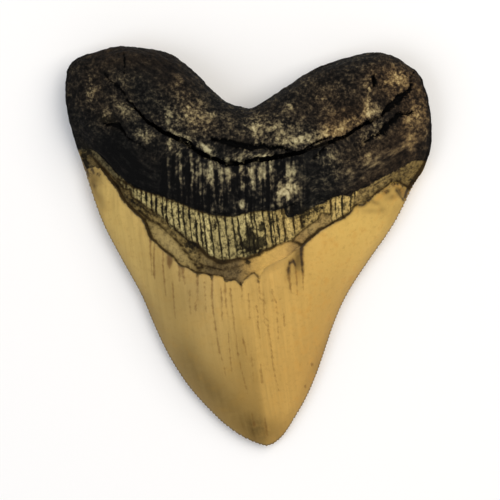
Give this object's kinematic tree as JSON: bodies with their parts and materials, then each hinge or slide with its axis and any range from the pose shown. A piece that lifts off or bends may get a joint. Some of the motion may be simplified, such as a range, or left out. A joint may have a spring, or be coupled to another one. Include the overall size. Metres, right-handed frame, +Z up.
{
  "type": "megalodon tooth",
  "caption": "Large triangular fossil shark tooth, lying flat: a smooth enamel crown with a finely serrated edge, a striated neck band and a dark, rough, forked root.",
  "frame": {"origin": "on the surface that the tooth lies on, under the middle of its box", "axes": "+Y from the crown's tip towards the root, +X to the right as seen from above, +Z up out of the lingual face"},
  "size_m": [0.1286, 0.1404, 0.0271],
  "materials": {
    "fossil": "satin golden enamel on the crown, dry matt near-black root with cream worn patches"
  },
  "bodies": {
    "root": {"tooth": "fossil"}
  },
  "joints": []
}
